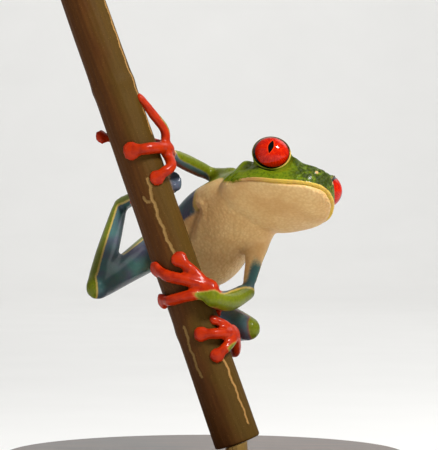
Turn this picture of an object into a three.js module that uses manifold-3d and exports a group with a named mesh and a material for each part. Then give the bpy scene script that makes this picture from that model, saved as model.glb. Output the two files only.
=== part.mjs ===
// Red-eyed tree frog (Agalychnis callidryas), life size, clinging to a short cut length of stem
// that a plain round display stand holds up. Millimetres, +Z up.
// The frog and the stem are measured from the middle between the frog's eyes. One group then moves
// them so that the part's origin is the centre of the stand's underside.
import * as THREE from "three";
import { LoftGeometry } from "three/addons/geometries/LoftGeometry.js";
import { mergeVertices } from "three/addons/utils/BufferGeometryUtils.js";
import Module from "manifold-3d";

const wasm = await Module();
wasm.setup();

const v = (x, y, z) => new THREE.Vector3(x, y, z);
const rad = THREE.MathUtils.degToRad;
const between = (a, b, share) => a.clone().lerp(b, share);

// ---------- driving dimensions ----------
const FROG_ABOVE_STAND = v(16, -14, 55); // the point that the frog is measured from
const GAP = 0.3; // clearance between neighbouring solids

const HEAD = {
  middle: v(0, 0, -0.3), // between the eyes, from the point that all else is measured from
  forward: v(0.6437, -0.753, 0.135),
  left: v(0.7135, 0.5274, -0.4621),
  eyeSpread: 6.6, // eye centre from the midline
  neckCut: -10.2, // where head and trunk part
  sides: 20,
};
const EYE = {
  long: 3.2,
  tall: 2.85,
  deep: 3.1,
  ahead: 0.69, // the gaze's share forward, to the side and down
  aside: 0.71,
  down: 0.09,
  lidMargin: 0.42, // how much larger the lid's bulge is than the eyeball
  lidSetBack: 1.2,
};
// The stem leans: `lean` is how far it moves along X for each millimetre up.
const STEM = { top: 33.5, bottom: -45.9, lean: -0.35, middleX: -26.38, topRadius: 3.5, footRadius: 4 };
const STAND = {
  radius: 36,
  thick: 6,
  edge: 1.4,
  postRadius: 1.9,
  braceRadius: 1.3,
  braceReach: 15, // how far behind the stem the brace meets the base
  braceHold: -37, // where on the stem the brace ends
  sunk: 2, // how far the rods' lines run past what they meet, before they are cut
};

// ---------- skeleton: joint centres ----------
const shoulder = { right: v(-11.2, 7.4, -0.9), left: v(-6.9, 10, -10.1) };
const elbow = { right: v(-14.9, 12.5, -0.2), left: v(-8.7, 4.8, -20.5) };
const wrist = { right: v(-22.2, 2.4, 3.2), left: v(-14.7, -5, -21.4) };
const hip = { right: v(-25, 26.6, -13.4), left: v(-18.4, 26.8, -18.8) };
const knee = { right: v(-34.6, 8, -19.9), left: v(-8.4, 6, -26.9) };
const heel = { right: v(-31.4, 27, -5.4), left: v(-16, 26, -28.5) };
const instep = { right: v(-26.4, 16.5, -3), left: v(-13.6, 13, -31.2) };
const sole = { right: v(-21.6, 8, -1.6), left: v(-11, 3.2, -29.6) };

// ---------- solids ----------
// A closed three.js geometry as a solid that can be joined and cut.
const toSolid = (geometry) => {
  const bare = new THREE.BufferGeometry();
  bare.setAttribute("position", geometry.attributes.position);
  bare.setIndex(geometry.index);
  const merged = mergeVertices(bare, 1e-4);
  return new wasm.Manifold(
    new wasm.Mesh({
      numProp: 3,
      vertProperties: merged.attributes.position.array,
      triVerts: new Uint32Array(merged.index.array),
    }),
  );
};

const toGeometry = (solid) => {
  const mesh = solid.getMesh();
  const geometry = new THREE.BufferGeometry();
  geometry.setAttribute("position", new THREE.BufferAttribute(mesh.vertProperties, 3));
  geometry.setIndex(new THREE.BufferAttribute(mesh.triVerts, 1));
  geometry.computeVertexNormals();
  return geometry;
};

const joinAll = (solids) => solids.reduce((sum, next) => sum.add(next));
const cutBy = (solid, cutters) => cutters.reduce((left, cutter) => left.subtract(cutter), solid);

// The main body of a cut solid, without the crumbs that a cut can leave.
const largest = (solid) =>
  solid.decompose().reduce((best, body) => (body.volume() > best.volume() ? body : best));

// A ring round a centre: half-width along `side`, `rise` above and `drop` below it.
const ring = (centre, side, up, [width, rise, drop], sides) =>
  Array.from({ length: sides }, (_, i) => {
    const turn = (i / sides) * 2 * Math.PI;
    return centre
      .clone()
      .addScaledVector(side, Math.cos(turn) * width)
      .addScaledVector(up, Math.sin(turn) * (Math.sin(turn) > 0 ? rise : drop));
  });

// A closed limb: an elliptical profile carried along a smooth path through its stations, with a dome
// at each end. A station is [point, half-width, rise, drop, up]; `swell` fattens the whole limb.
function limb(stations, { sides, steps, dome, swell }) {
  const path = new THREE.CatmullRomCurve3(stations.map(([point]) => point));
  const sizes = new THREE.CatmullRomCurve3(stations.map(([, width, rise, drop]) => v(width, rise, drop)));
  const ups = new THREE.CatmullRomCurve3(stations.map((station) => station.at(-1)));
  const frameAt = (t) => {
    const along = path.getTangent(t);
    const size = sizes.getPoint(t).addScalar(swell).toArray();
    const side = ups.getPoint(t).cross(along).normalize();
    return { centre: path.getPoint(t), along, size, side, up: along.clone().cross(side) };
  };
  const ringAt = ({ centre, along, size, side, up }, shift, shrink) => {
    const shifted = centre.clone().addScaledVector(along, shift);
    return ring(shifted, side, up, size.map((s) => s * shrink), sides);
  };
  // Rings of a dome, from its small end ring to just short of the full one.
  const domeRings = (frame, direction) => {
    const [width, rise, drop] = frame.size;
    const length = Math.min(width, (rise + drop) / 2) * direction;
    return Array.from({ length: dome }, (_, k) => {
      const angle = rad(12 + (78 * k) / dome);
      return ringAt(frame, length * Math.cos(angle), Math.sin(angle));
    });
  };
  const middle = Array.from({ length: steps + 1 }, (_, k) => ringAt(frameAt(k / steps), 0, 1));
  const sections = [...domeRings(frameAt(0), -1), ...middle, ...domeRings(frameAt(1), 1).reverse()];
  return toSolid(new LoftGeometry(sections, { capStart: true, capEnd: true }));
}

// ---------- head ----------
const headUp = HEAD.forward.clone().cross(HEAD.left).normalize();
const alongHead = (forward, left, up) =>
  v(0, 0, 0)
    .addScaledVector(HEAD.forward, forward)
    .addScaledVector(HEAD.left, left)
    .addScaledVector(headUp, up);
const inHead = (forward, left, up) => alongHead(forward, left, up).add(HEAD.middle);

// Head sections from neck to snout: [forward, half-width at the lip, crown, lip and throat height],
// with the heights from the eyes' centres.
const headSections = [
  [-13, 6.4, 0.8, -4.6, -7.6],
  [-10, 7.6, 1.0, -4.7, -8.1],
  [-7, 8.5, 1.1, -4.85, -8.1],
  [-3.5, 8.6, 1.2, -5.0, -7.5],
  [0, 8.0, 1.4, -5.2, -7.2],
  [3, 6.8, 0.6, -5.1, -6.9],
  [5.2, 5.3, -0.2, -4.7, -6.5],
  [6.8, 3.7, -1.1, -4.35, -6.0],
  [7.6, 2.2, -2.1, -4.2, -5.3],
  [8.05, 0.8, -3.2, -4.1, -4.7],
];
function headLoft(swell = 0) {
  const sections = headSections.map(([forward, width, crown, lip, throat]) => {
    const size = [width, crown - lip, lip - throat].map((s) => s + swell);
    return ring(inHead(forward, 0, lip), HEAD.left, headUp, size, HEAD.sides);
  });
  return toSolid(new LoftGeometry(sections, { capStart: true, capEnd: true }));
}

// ---------- eyes and their lids ----------
// `side` is 1 on the left and -1 on the right.
function eyeShape(side, margin, setBack) {
  const along = alongHead(EYE.ahead, side * EYE.aside, -EYE.down).normalize();
  const across = headUp.clone().cross(along).normalize();
  const tall = along.clone().cross(across);
  const centre = inHead(0, side * HEAD.eyeSpread, 0).addScaledVector(along, -setBack);
  const geometry = new THREE.SphereGeometry(1, 16, 10);
  geometry.scale(EYE.long + margin, EYE.tall + margin, EYE.deep + margin);
  geometry.applyMatrix4(new THREE.Matrix4().makeBasis(across, tall, along).setPosition(centre));
  return toSolid(geometry);
}
const eyeball = (side, swell = 0) => eyeShape(side, swell, 0);
const lidBulge = (side, swell = 0) => eyeShape(side, EYE.lidMargin + swell, EYE.lidSetBack);

// ---------- trunk, from inside the head to the vent ----------
const trunkUp = v(0.298, 0.4226, 0.856);
const trunkStations = [
  [inHead(-6.5, 0, -3.4), 6.3, 4.4, 4.0, headUp],
  [inHead(-10.5, 0, -4), 7.4, 5.0, 4.8, headUp],
  [v(-12, 10.6, -7.6), 7.7, 5.4, 6.2, trunkUp],
  [v(-15.9, 17, -11.3), 7.9, 6.4, 8.7, v(0.06, 0.41, 0.91)],
  [v(-18.2, 23, -13.4), 7.9, 6.2, 7.1, v(0.18, 0.42, 0.89)],
  [v(-20.2, 28, -14.2), 6.2, 4.9, 5.2, trunkUp],
  [v(-21.8, 32.4, -15.2), 3.4, 2.9, 2.9, trunkUp],
];
const trunkLoft = (swell = 0) => limb(trunkStations, { sides: 20, steps: 10, dome: 3, swell });

// ---------- arms and legs ----------
// Limb segments: from, to, where the middle is, and for each side the radius at the start, in the
// middle and at the end. `bow` is how far the left one's middle lies off the straight line.
const segments = {
  upper_arm: {
    from: shoulder,
    to: elbow,
    middleAt: 0.5,
    sides: 9,
    right: [2.0, 1.5, 1.3],
    left: [3.2, 1.5, 0.95],
    bow: v(0.3, 0, 0),
  },
  forearm: {
    from: elbow,
    to: wrist,
    middleAt: 0.55,
    sides: 9,
    right: [1.3, 1.4, 1.1],
    left: [1.5, 1.75, 1.5],
    bow: v(0, 0, -0.9),
  },
  thigh: {
    from: hip,
    to: knee,
    middleAt: 0.45,
    sides: 12,
    right: [3.4, 2.7, 2.1],
    left: [3.5, 2.4, 2.1],
    bow: v(0, 0, -1.6),
  },
  shank: {
    from: knee,
    to: heel,
    middleAt: 0.35,
    sides: 9,
    right: [2.05, 2.0, 1.3],
    left: [2.1, 2.0, 1.35],
  },
  tarsus: {
    from: heel,
    to: instep,
    middleAt: 0.5,
    sides: 9,
    right: [1.35, 1.15, 1.2],
    left: [1.35, 1.15, 1.2],
  },
};

function segment(name, side, swell = 0) {
  const { from, to, middleAt, sides, bow = v(0, 0, 0), [side]: radii } = segments[name];
  const middle = between(from[side], to[side], middleAt).addScaledVector(bow, side === "left" ? 1 : 0);
  const stations = [from[side], middle, to[side]].map((centre, i) => {
    const radius = radii[i];
    return [centre, radius, radius, radius, trunkUp];
  });
  return limb(stations, { sides, steps: 4, dome: 2, swell });
}

// ---------- stem ----------
const stemUp = v(STEM.lean, 0, 1).normalize();
const stemRight = v(stemUp.z, 0, -stemUp.x);
const stemMiddle = v(STEM.middleX, 0, 0);
const stemLow = STEM.bottom / stemUp.z;
const stemHigh = STEM.top / stemUp.z;
const stemRadius = (t) => THREE.MathUtils.mapLinear(t, stemLow, stemHigh, STEM.footRadius, STEM.topRadius);

// A point by the stem, and the way out from its axis there: `t` is the distance along the stem,
// `turn` the degrees round it (0 right, 90 front) and `lift` the height over its surface.
const onStem = (t, turn, lift) => {
  const out = stemRight.clone().multiplyScalar(Math.cos(rad(turn)));
  out.y = -Math.sin(rad(turn));
  const point = stemMiddle.clone().addScaledVector(stemUp, t);
  return { point: point.addScaledVector(out, stemRadius(t) + lift), out };
};

function stemSolid(swell = 0) {
  const profile = [
    [0, stemLow - swell],
    [STEM.footRadius + swell, stemLow - swell],
    [STEM.topRadius + swell, stemHigh + swell],
    [0, stemHigh + swell],
  ];
  const geometry = new THREE.LatheGeometry(profile.map(([x, y]) => new THREE.Vector2(x, y)), 32);
  const stemBack = stemRight.clone().cross(stemUp);
  geometry.applyMatrix4(new THREE.Matrix4().makeBasis(stemRight, stemUp, stemBack).setPosition(stemMiddle));
  return toSolid(geometry);
}

// ---------- hands and feet ----------
// Each digit runs over the stem from a root [t, turn] to the middle of its disc [t, turn], some by
// way of a knuckle, `bend` [t, turn, height over the stem]. `lift` is the root's height, and a disc
// lies on the stem unless it has a `tipLift`.
const hands = {
  right: {
    palm: [
      [2.4, 0, 1.5, 1.4, 1.1],
      [2.2, 12, 1.1, 1.9, 0.95],
    ],
    lift: 1.2,
    digits: [
      { root: [2.8, 4], bend: [5.2, 4, 1.6], tip: [12.2, 20], thick: 0.8, disc: 1.0 },
      { root: [2.6, 10], tip: [3.9, 100], thick: 1.0, disc: 1.7 },
      { root: [1.6, 6], bend: [-0.7, 25, 1.6], tip: [-1.8, 62], thick: 0.9, disc: 1.4 },
      { root: [3.2, -14], tip: [8.1, -150], thick: 0.8, disc: 1.3, tipLift: 1.9 },
    ],
  },
  left: {
    palm: [
      [-22.4, 47, 2.6, 1.5, 1.3],
      [-21.6, 57, 1.6, 1.9, 1.0],
    ],
    lift: 2.4,
    digits: [
      { root: [-22.2, 47], bend: [-19, 58, 1.2], tip: [-15.9, 77], thick: 0.95, disc: 1.5 },
      { root: [-22, 50], bend: [-19.9, 76, 1.3], tip: [-16.3, 152], thick: 1.0, disc: 1.5 },
      { root: [-23.2, 46], bend: [-22.3, 84, 1.7], tip: [-21.8, 168], thick: 0.95, disc: 1.4 },
      { root: [-22.8, 46], tip: [-26.6, -24], thick: 0.8, disc: 1.2 },
    ],
  },
};
const feet = {
  right: {
    pad: [-3.6, -64, 3.2, 2.0, 1.1],
    lift: 2.75,
    digits: [
      { root: [-3.4, -65], tip: [0.9, -104], thick: 0.75, disc: 1.15 },
      { root: [-3.4, -68], tip: [-0.2, -128], thick: 0.78, disc: 1.25 },
      { root: [-3.7, -70], tip: [-4.3, -144], thick: 0.8, disc: 1.35 },
      { root: [-4, -68], tip: [-8.3, -128], thick: 0.8, disc: 1.35 },
      { root: [-4.2, -64], tip: [-9.8, -76], thick: 0.78, disc: 1.25 },
    ],
  },
  left: {
    pad: [-31, 0, 1.6, 1.9, 1.0],
    lift: 1.5,
    digits: [
      { root: [-31, -10], tip: [-30.2, -104], thick: 0.75, disc: 1.05 },
      { root: [-30.6, -4], tip: [-27.4, -70], thick: 0.78, disc: 1.15 },
      { root: [-30.6, 6], tip: [-27.6, 41], thick: 0.8, disc: 0.95 },
      { root: [-31, 8], tip: [-29.1, 87], thick: 0.95, disc: 1.4 },
      { root: [-31.4, 8], tip: [-33.4, 68], thick: 0.9, disc: 1.35 },
    ],
  },
};
const DISC_LIFT = 0.3; // a disc's middle over the stem

function digit({ root, bend, tip, thick, disc, tipLift = DISC_LIFT }, lift, swell) {
  const { lerp } = THREE.MathUtils;
  const place = (share, height) =>
    onStem(lerp(root[0], tip[0], share), lerp(root[1], tip[1], share), height);
  const joints = [place(0, lift), place(0.34, lift * 0.8), place(0.67, lerp(tipLift, lift, 0.45))];
  if (bend) {
    const [t, turn, height] = bend;
    const halfway = [lerp(t, tip[0], 0.5), lerp(turn, tip[1], 0.5), lerp(height, tipLift, 0.5)];
    joints.splice(1, 2, onStem(...bend), onStem(...halfway));
  }
  const pad = place(1, tipLift);
  const reach = pad.point.clone().sub(joints[2].point).normalize();
  const alongTip = (distance) => pad.point.clone().addScaledVector(reach, distance);
  const stations = [
    ...joints.map(({ point, out }) => [point, thick, thick, thick, out]),
    [alongTip(-0.95 * disc), thick * 0.95, thick * 0.8, thick * 0.8, pad.out],
    [pad.point, disc, 0.55, 0.75, pad.out],
    [alongTip(0.45 * disc), disc * 0.8, 0.45, 0.7, pad.out],
  ];
  return limb(stations, { sides: 6, steps: 5, dome: 1, swell });
}

const padStation = ([t, turn, lift, width, thick]) => {
  const { point, out } = onStem(t, turn, lift);
  return [point, width, thick, thick, out];
};

function hand(side, swell = 0) {
  const { palm, lift, digits } = hands[side];
  const inner = palm.map(padStation);
  const cuff = [wrist[side], 1.2, 1.2, 1.2, inner[0].at(-1)];
  const pad = limb([cuff, ...inner], { sides: 8, steps: 4, dome: 2, swell });
  return joinAll([pad, ...digits.map((one) => digit(one, lift, swell))]);
}

function foot(side, swell = 0) {
  const { pad, lift, digits } = feet[side];
  const end = padStation(pad);
  const out = end.at(-1);
  const stations = [
    [instep[side], 1.3, 1.2, 1.2, out],
    [between(instep[side], sole[side], 0.6), 1.75, 1.1, 1.1, out],
    [sole[side], 2.0, 1.1, 1.1, out],
    end,
  ];
  const body = limb(stations, { sides: 8, steps: 5, dome: 2, swell });
  return joinAll([body, ...digits.map((one) => digit(one, lift, swell))]);
}

// ---------- display stand ----------
function baseSolid() {
  const { radius, thick, edge } = STAND;
  const profile = [
    [0, 0],
    [radius - edge / 2, 0],
    [radius, edge / 2],
    [radius, thick - edge],
    [radius - edge * 0.3, thick - edge * 0.3],
    [radius - edge, thick],
    [0, thick],
  ];
  const geometry = new THREE.LatheGeometry(profile.map(([x, y]) => new THREE.Vector2(x, y)), 44);
  return toSolid(geometry.rotateX(Math.PI / 2));
}

function rod(from, to, radius) {
  const geometry = new THREE.CylinderGeometry(radius, radius, from.distanceTo(to), 16);
  const axis = to.clone().sub(from).normalize();
  const turn = new THREE.Matrix4().makeRotationFromQuaternion(
    new THREE.Quaternion().setFromUnitVectors(v(0, 1, 0), axis),
  );
  return toSolid(geometry.applyMatrix4(turn.setPosition(between(from, to, 0.5))));
}

// ---------- scene graph ----------
const colour = {
  green: [0x5f9a1f, 0.35],
  blue: [0x4f7fa6, 0.4],
  orange: [0xe2500f, 0.3],
  iris: [0xc81408, 0.1],
  stem: [0x6b4a22, 0.75],
  wood: [0x3a2416, 0.5],
  brass: [0xa8894a, 0.3],
};
const part = new THREE.Group();
const raised = new THREE.Group();
raised.position.copy(FROG_ABOVE_STAND);
part.add(raised);

function show(parent, name, solid, [color, roughness], metalness = 0) {
  const material = new THREE.MeshStandardMaterial({ color, roughness, metalness });
  const mesh = new THREE.Mesh(toGeometry(largest(solid)), material);
  mesh.name = name;
  parent.add(mesh);
}

// Head and trunk are one body, parted by a thin slab across the neck.
const neckSlab = new THREE.BoxGeometry(40, 40, GAP).applyMatrix4(
  new THREE.Matrix4()
    .makeBasis(HEAD.left, headUp, HEAD.forward)
    .setPosition(inHead(HEAD.neckCut, 0, 0)),
);
const bodyLofts = (swell) =>
  joinAll([headLoft(swell), trunkLoft(swell), lidBulge(1, swell), lidBulge(-1, swell)]);
const [head, trunk] = bodyLofts(0)
  .subtract(toSolid(neckSlab))
  .decompose()
  .sort((a, b) => a.boundingBox().min[1] - b.boundingBox().min[1]);
show(raised, "head", cutBy(head, [eyeball(1, GAP), eyeball(-1, GAP)]), colour.green);
show(raised, "trunk", trunk, colour.green);
show(raised, "eye_right", eyeball(-1), colour.iris);
show(raised, "eye_left", eyeball(1), colour.iris);
show(raised, "stem", stemSolid(), colour.stem);

// Each limb piece is cut clear of what is made before it, from the body outwards. The hand comes
// before the forearm, whose end it takes in.
const bodyClear = bodyLofts(GAP);
const stemClear = stemSolid(GAP);
const limbPieces = [
  ["upper_arm", segment, colour.green],
  ["hand", (name, side, swell) => hand(side, swell), colour.orange],
  ["forearm", segment, colour.green],
  ["thigh", segment, colour.blue],
  ["shank", segment, colour.green],
  ["tarsus", segment, colour.blue],
  ["foot", (name, side, swell) => foot(side, swell), colour.orange],
];
for (const side of ["right", "left"]) {
  const clearOf = [bodyClear, stemClear];
  for (const [name, make, finish] of limbPieces) {
    show(raised, `${name}_${side}`, cutBy(make(name, side), clearOf), finish);
    clearOf.push(make(name, side, GAP));
  }
}

show(part, "stand_base", baseSolid(), colour.wood);

// The post stands under the stem's cut foot, and the brace leans on its back.
const baseTop = STAND.thick - FROG_ABOVE_STAND.z;
const baseClear = toSolid(new THREE.BoxGeometry(200, 200, 50).translate(0, 0, baseTop + GAP - 25));
const stemFoot = stemMiddle.clone().addScaledVector(stemUp, stemLow);
const postTop = stemFoot.clone().addScaledVector(stemUp, STAND.sunk / 2);
const post = rod(v(stemFoot.x, 0, baseTop - STAND.sunk), postTop, STAND.postRadius);
const braceFoot = v(stemFoot.x, STAND.braceReach, baseTop - STAND.sunk);
const brace = rod(braceFoot, onStem(STAND.braceHold, -90, 0).point, STAND.braceRadius);
show(raised, "stand_post", cutBy(post, [stemClear, baseClear]), colour.brass, 1);
show(raised, "stand_brace", cutBy(brace, [stemClear, baseClear]), colour.brass, 1);

export default part;
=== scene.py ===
import math

import bmesh
import bpy
import numpy as np
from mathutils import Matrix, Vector


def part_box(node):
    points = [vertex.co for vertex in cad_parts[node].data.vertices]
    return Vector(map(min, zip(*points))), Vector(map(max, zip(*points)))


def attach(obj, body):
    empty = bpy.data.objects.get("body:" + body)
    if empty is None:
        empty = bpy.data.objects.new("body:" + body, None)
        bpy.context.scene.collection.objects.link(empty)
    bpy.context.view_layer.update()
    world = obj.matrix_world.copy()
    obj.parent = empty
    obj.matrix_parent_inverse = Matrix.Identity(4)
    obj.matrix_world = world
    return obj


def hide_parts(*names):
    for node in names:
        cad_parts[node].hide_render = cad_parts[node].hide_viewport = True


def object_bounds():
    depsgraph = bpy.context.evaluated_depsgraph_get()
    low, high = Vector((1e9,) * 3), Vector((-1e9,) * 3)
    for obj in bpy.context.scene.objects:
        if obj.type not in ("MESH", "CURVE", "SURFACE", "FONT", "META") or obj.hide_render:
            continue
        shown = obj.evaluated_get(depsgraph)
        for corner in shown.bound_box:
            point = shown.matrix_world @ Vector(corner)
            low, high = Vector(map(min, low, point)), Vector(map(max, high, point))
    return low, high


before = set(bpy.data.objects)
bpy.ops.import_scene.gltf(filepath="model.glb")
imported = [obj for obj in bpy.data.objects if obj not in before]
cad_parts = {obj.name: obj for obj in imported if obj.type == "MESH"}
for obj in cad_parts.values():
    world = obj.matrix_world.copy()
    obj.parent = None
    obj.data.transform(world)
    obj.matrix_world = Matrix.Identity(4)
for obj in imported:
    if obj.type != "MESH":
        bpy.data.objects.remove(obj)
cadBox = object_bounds()
print("frame loaded")

# The frog and its stem are measured in millimetres from a point just above the middle between the
# frog's eyes, and toScene turns such points into the frame's metres.
mm = 0.001
eyeCorners = [corner for node in ("eye_right", "eye_left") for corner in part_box(node)]
betweenEyes = np.mean([list(corner) for corner in eyeCorners], axis=0)
headDrop = np.array([0, 0, -0.3])  # the eyes' middle, from that point
farOff = 9  # a distance in millimetres at which nothing is marked or raised


def toScene(points):
    return betweenEyes + (np.asarray(points) - headDrop) * mm


# Small maths.
def vec(x, y, z):
    return np.array([x, y, z], float)


def unit(rows):
    return rows / np.maximum(np.linalg.norm(rows, axis=-1, keepdims=True), 1e-9)


def apart(points, place):
    # each point's distance from the place
    return np.linalg.norm(points - place, axis=1)


def ease(value, low, high):
    # 0 below low, 1 above high and an S-curve between them
    share = np.clip((value - low) / (high - low), 0, 1)
    return share * share * (3 - 2 * share)


def bell(distance, width):
    # a smooth bump, 1 in the middle and near 0 beyond twice its width
    return np.exp(-((distance / width) ** 2))


def mixed(a, b, share):
    return a + (b - a) * share


def smoothPath(points, shares):
    # centripetal Catmull-Rom curve through the rows of points; shares run from 0 to 1 along it
    points = np.asarray(points, float)
    padded = np.vstack([2 * points[0] - points[1], points, 2 * points[-1] - points[-2]])
    spans = len(points) - 1
    index = np.minimum((shares * spans).astype(int), spans - 1)
    w = (shares * spans - index)[:, None]
    p0, p1, p2, p3 = (padded[index + k] for k in range(4))

    def root(a, b, small):
        gap = np.sqrt(np.linalg.norm(b - a, axis=1, keepdims=True))
        return np.where(gap < 1e-4, small, gap)

    d1 = root(p1, p2, 1)
    d0, d2 = root(p0, p1, d1), root(p2, p3, d1)
    m1 = ((p1 - p0) / d0 - (p2 - p0) / (d0 + d1) + (p2 - p1) / d1) * d1
    m2 = ((p2 - p1) / d1 - (p3 - p1) / (d1 + d2) + (p3 - p2) / d2) * d1
    return p1 + m1 * w + (3 * (p2 - p1) - 2 * m1 - m2) * w**2 + (2 * (p1 - p2) + m1 + m2) * w**3


# Making meshes.
def ringGrid(centre, side, up, size, sides):
    # rings round the centres: width along side, rise above and drop below along up
    turn = np.linspace(0, 2 * np.pi, sides, endpoint=False)
    tall = np.where(np.sin(turn) > 0, size[:, 1:2], size[:, 2:3])
    return (
        centre[:, None]
        + side[:, None] * (np.cos(turn) * size[:, :1])[..., None]
        + up[:, None] * (np.sin(turn) * tall)[..., None]
    )


def ringQuads(rings, sides, joined=False):
    # the squares between neighbouring rings of points, and from the last ring to the first if joined
    ring, turn = np.meshgrid(np.arange(rings if joined else rings - 1), np.arange(sides), indexing="ij")
    low, high = ring * sides, (ring + 1) % rings * sides
    onward = (turn + 1) % sides
    return np.stack([low + turn, low + onward, high + onward, high + turn], -1).reshape(-1, 4)


def closedGrid(grid):
    # a rings x sides grid of points as a closed shell, with a fan of triangles at each end
    rings, sides = grid.shape[:2]
    vertices = np.vstack([grid.reshape(-1, 3), grid[[0, -1]].mean(axis=1)])
    around = np.arange(sides)
    following = (around + 1) % sides
    start, end = np.full(sides, rings * sides), np.full(sides, rings * sides + 1)
    last = (rings - 1) * sides
    startFan = np.stack([start, following, around], -1)
    endFan = np.stack([end, last + around, last + following], -1)
    return vertices, ringQuads(rings, sides), np.vstack([startFan, endFan])


def joinShells(shells):
    # several shells' points and faces as one set
    vertices, quads, fans, count = [], [], [], 0
    for shellVertices, shellQuads, shellFans in shells:
        vertices.append(shellVertices)
        quads.append(shellQuads + count)
        fans.append(shellFans + count)
        count += len(shellVertices)
    return np.vstack(vertices), np.vstack(quads), np.vstack(fans)


def makeMesh(name, vertices, *faceSets):
    # a mesh from points and arrays of faces, each array with one number of corners
    mesh = bpy.data.meshes.new(name)
    corners = np.concatenate([faces.ravel() for faces in faceSets])
    sizes = np.concatenate([np.full(len(faces), faces.shape[1]) for faces in faceSets])
    mesh.vertices.add(len(vertices))
    mesh.loops.add(len(corners))
    mesh.polygons.add(len(sizes))
    mesh.vertices.foreach_set("co", np.asarray(vertices, np.float32).ravel())
    mesh.loops.foreach_set("vertex_index", corners.astype(np.int32))
    mesh.polygons.foreach_set("loop_start", (np.cumsum(sizes) - sizes).astype(np.int32))
    mesh.update(calc_edges=True)
    mesh.validate()
    return mesh


def readMesh(mesh):
    # its points, their normals and its edges
    points = np.zeros(len(mesh.vertices) * 3, np.float32)
    normals = np.zeros(len(mesh.vertices) * 3, np.float32)
    edges = np.zeros(len(mesh.edges) * 2, np.int32)
    mesh.vertices.foreach_get("co", points)
    mesh.vertices.foreach_get("normal", normals)
    mesh.edges.foreach_get("vertices", edges)
    return points.reshape(-1, 3).astype(float), normals.reshape(-1, 3).astype(float), edges.reshape(-1, 2)


def movePoints(mesh, points):
    mesh.vertices.foreach_set("co", np.asarray(points, np.float32).ravel())
    mesh.update()


def storeValues(mesh, **values):
    # each named array becomes a number on every vertex, which materials read by that name
    for name, numbers in values.items():
        attribute = mesh.attributes.new(name, "FLOAT", "POINT")
        attribute.data.foreach_set("value", np.asarray(numbers, np.float32).ravel())


def addObject(name, data):
    made = bpy.data.objects.new(name, data)
    bpy.context.scene.collection.objects.link(made)
    return made


def makePiece(name, mesh, material, slot, *nodes):
    # the mesh as a piece of the model, standing for the named nodes
    mesh.shade_smooth()
    mesh.materials.append(material)
    piece = addObject(name, mesh)
    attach(piece, "root")
    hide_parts(*nodes)


# Building shaders.
class Wire:
    # one output socket; sums on it add Math nodes
    def __init__(self, shader, socket):
        self.shader, self.socket = shader, socket

    def math(self, operation, *values):
        return self.shader.node("ShaderNodeMath", {"operation": operation}, values)

    def __add__(self, other):
        return self.math("ADD", self, other)

    def __sub__(self, other):
        return self.math("SUBTRACT", self, other)

    def __rsub__(self, other):
        return self.math("SUBTRACT", other, self)

    def __mul__(self, other):
        return self.math("MULTIPLY", self, other)

    __radd__, __rmul__ = __add__, __mul__

    def size(self):
        return self.math("ABSOLUTE", self)

    def sine(self):
        return self.math("SINE", self)

    def most(self, other):
        return self.math("MAXIMUM", self, other)


class Shader:
    def __init__(self, name):
        self.material = bpy.data.materials.new(name)
        self.material.use_nodes = True
        self.tree = self.material.node_tree
        self.tree.nodes.clear()
        self.place = self.node("ShaderNodeTexCoord", output="Object")

    def node(self, kind, settings=None, inputs=(), output=0):
        made = self.tree.nodes.new(kind)
        for key, value in (settings or {}).items():
            setattr(made, key, value)
        pairs = inputs.items() if isinstance(inputs, dict) else enumerate(inputs)
        for key, value in pairs:
            if isinstance(value, Wire):
                self.tree.links.new(value.socket, made.inputs[key])
            else:
                made.inputs[key].default_value = value
        return Wire(self, made.outputs[output]) if made.outputs else None

    def attributes(self, *names):
        # the numbers that the mesh's vertices hold under these names
        kind = "ShaderNodeAttribute"
        return [self.node(kind, {"attribute_name": name}, output="Fac") for name in names]

    def mix(self, share, first, second, blend="MIX"):
        inputs = {0: share, 6: first, 7: second}
        return self.node("ShaderNodeMix", {"data_type": "RGBA", "blend_type": blend}, inputs, output=2)

    def ease(self, value, low, high):
        inputs = {"Value": value, "From Min": low, "From Max": high}
        return self.node("ShaderNodeMapRange", {"interpolation_type": "SMOOTHSTEP"}, inputs)

    def lay(self, base, tone, value, low, high, most=1.0):
        # the tone over the base where the value goes from low to high, up to a share of most
        return self.mix(self.ease(value, low, high) * most, base, tone)

    def noise(self, size, detail, place=None):
        # soft noise from 0 to 1 whose blotches are about size millimetres across
        inputs = {"Vector": place or self.place, "Scale": 1 / (size * mm), "Detail": detail}
        return self.node("ShaderNodeTexNoise", {}, inputs)

    def cells(self, size):
        # distance from the middle of the nearest cell, cells being size millimetres across
        inputs = {"Vector": self.place, "Scale": 1 / (size * mm), "Smoothness": 0.35}
        return self.node("ShaderNodeTexVoronoi", {"feature": "SMOOTH_F1"}, inputs, output="Distance")

    def stretched(self, scale, place=None):
        # the place with each axis scaled
        return self.node("ShaderNodeMapping", {}, {"Vector": place or self.place, "Scale": scale})

    def bump(self, height, depth, strength):
        # depth is in millimetres
        inputs = {"Strength": strength, "Distance": depth * mm, "Height": height}
        return self.node("ShaderNodeBump", {}, inputs, output="Normal")

    def finish(self, **inputs):
        # the named sockets of one Principled shader, with _ for the spaces in their names
        named = {key.replace("_", " "): value for key, value in inputs.items()}
        surface = self.node("ShaderNodeBsdfPrincipled", {}, named, output="BSDF")
        self.node("ShaderNodeOutputMaterial", {}, {"Surface": surface})
        return self.material


def colour(red, green, blue):
    # a screen colour, 0 to 255, as the linear one that shaders take
    part = np.array([red, green, blue]) / 255
    linear = np.where(part <= 0.04045, part / 12.92, ((part + 0.055) / 1.055) ** 2.4)
    return (*(float(value) for value in linear), 1.0)


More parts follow.
